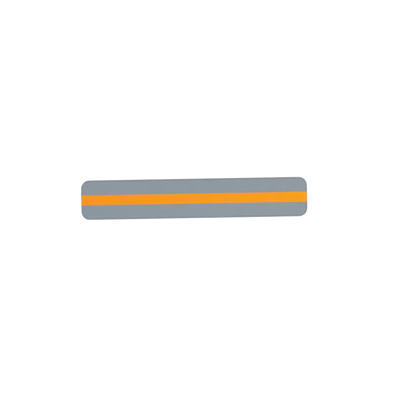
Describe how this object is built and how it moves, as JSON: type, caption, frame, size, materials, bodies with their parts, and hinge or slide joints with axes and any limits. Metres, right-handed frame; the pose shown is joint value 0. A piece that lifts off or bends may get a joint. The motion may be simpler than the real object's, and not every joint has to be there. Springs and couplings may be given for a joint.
{
  "type": "reading guide strip",
  "caption": "Thin flexible plastic strip with rounded corners: a see-through orange window band between grey masking bands picks out one line of text.",
  "frame": {"origin": "middle of the back face, which the strip lies on", "axes": "+X along the strip, +Y across it towards the upper grey band, +Z out of the front face"},
  "size_m": [0.184, 0.032, 0.0005],
  "materials": {
    "clear_film": "satin",
    "grey_plastic": "satin",
    "orange_plastic": "satin"
  },
  "bodies": {
    "root": {"front_film": "clear_film", "upper_grey_band": "grey_plastic", "orange_window_band": "orange_plastic", "lower_grey_band": "grey_plastic", "back_film": "clear_film"}
  },
  "joints": []
}
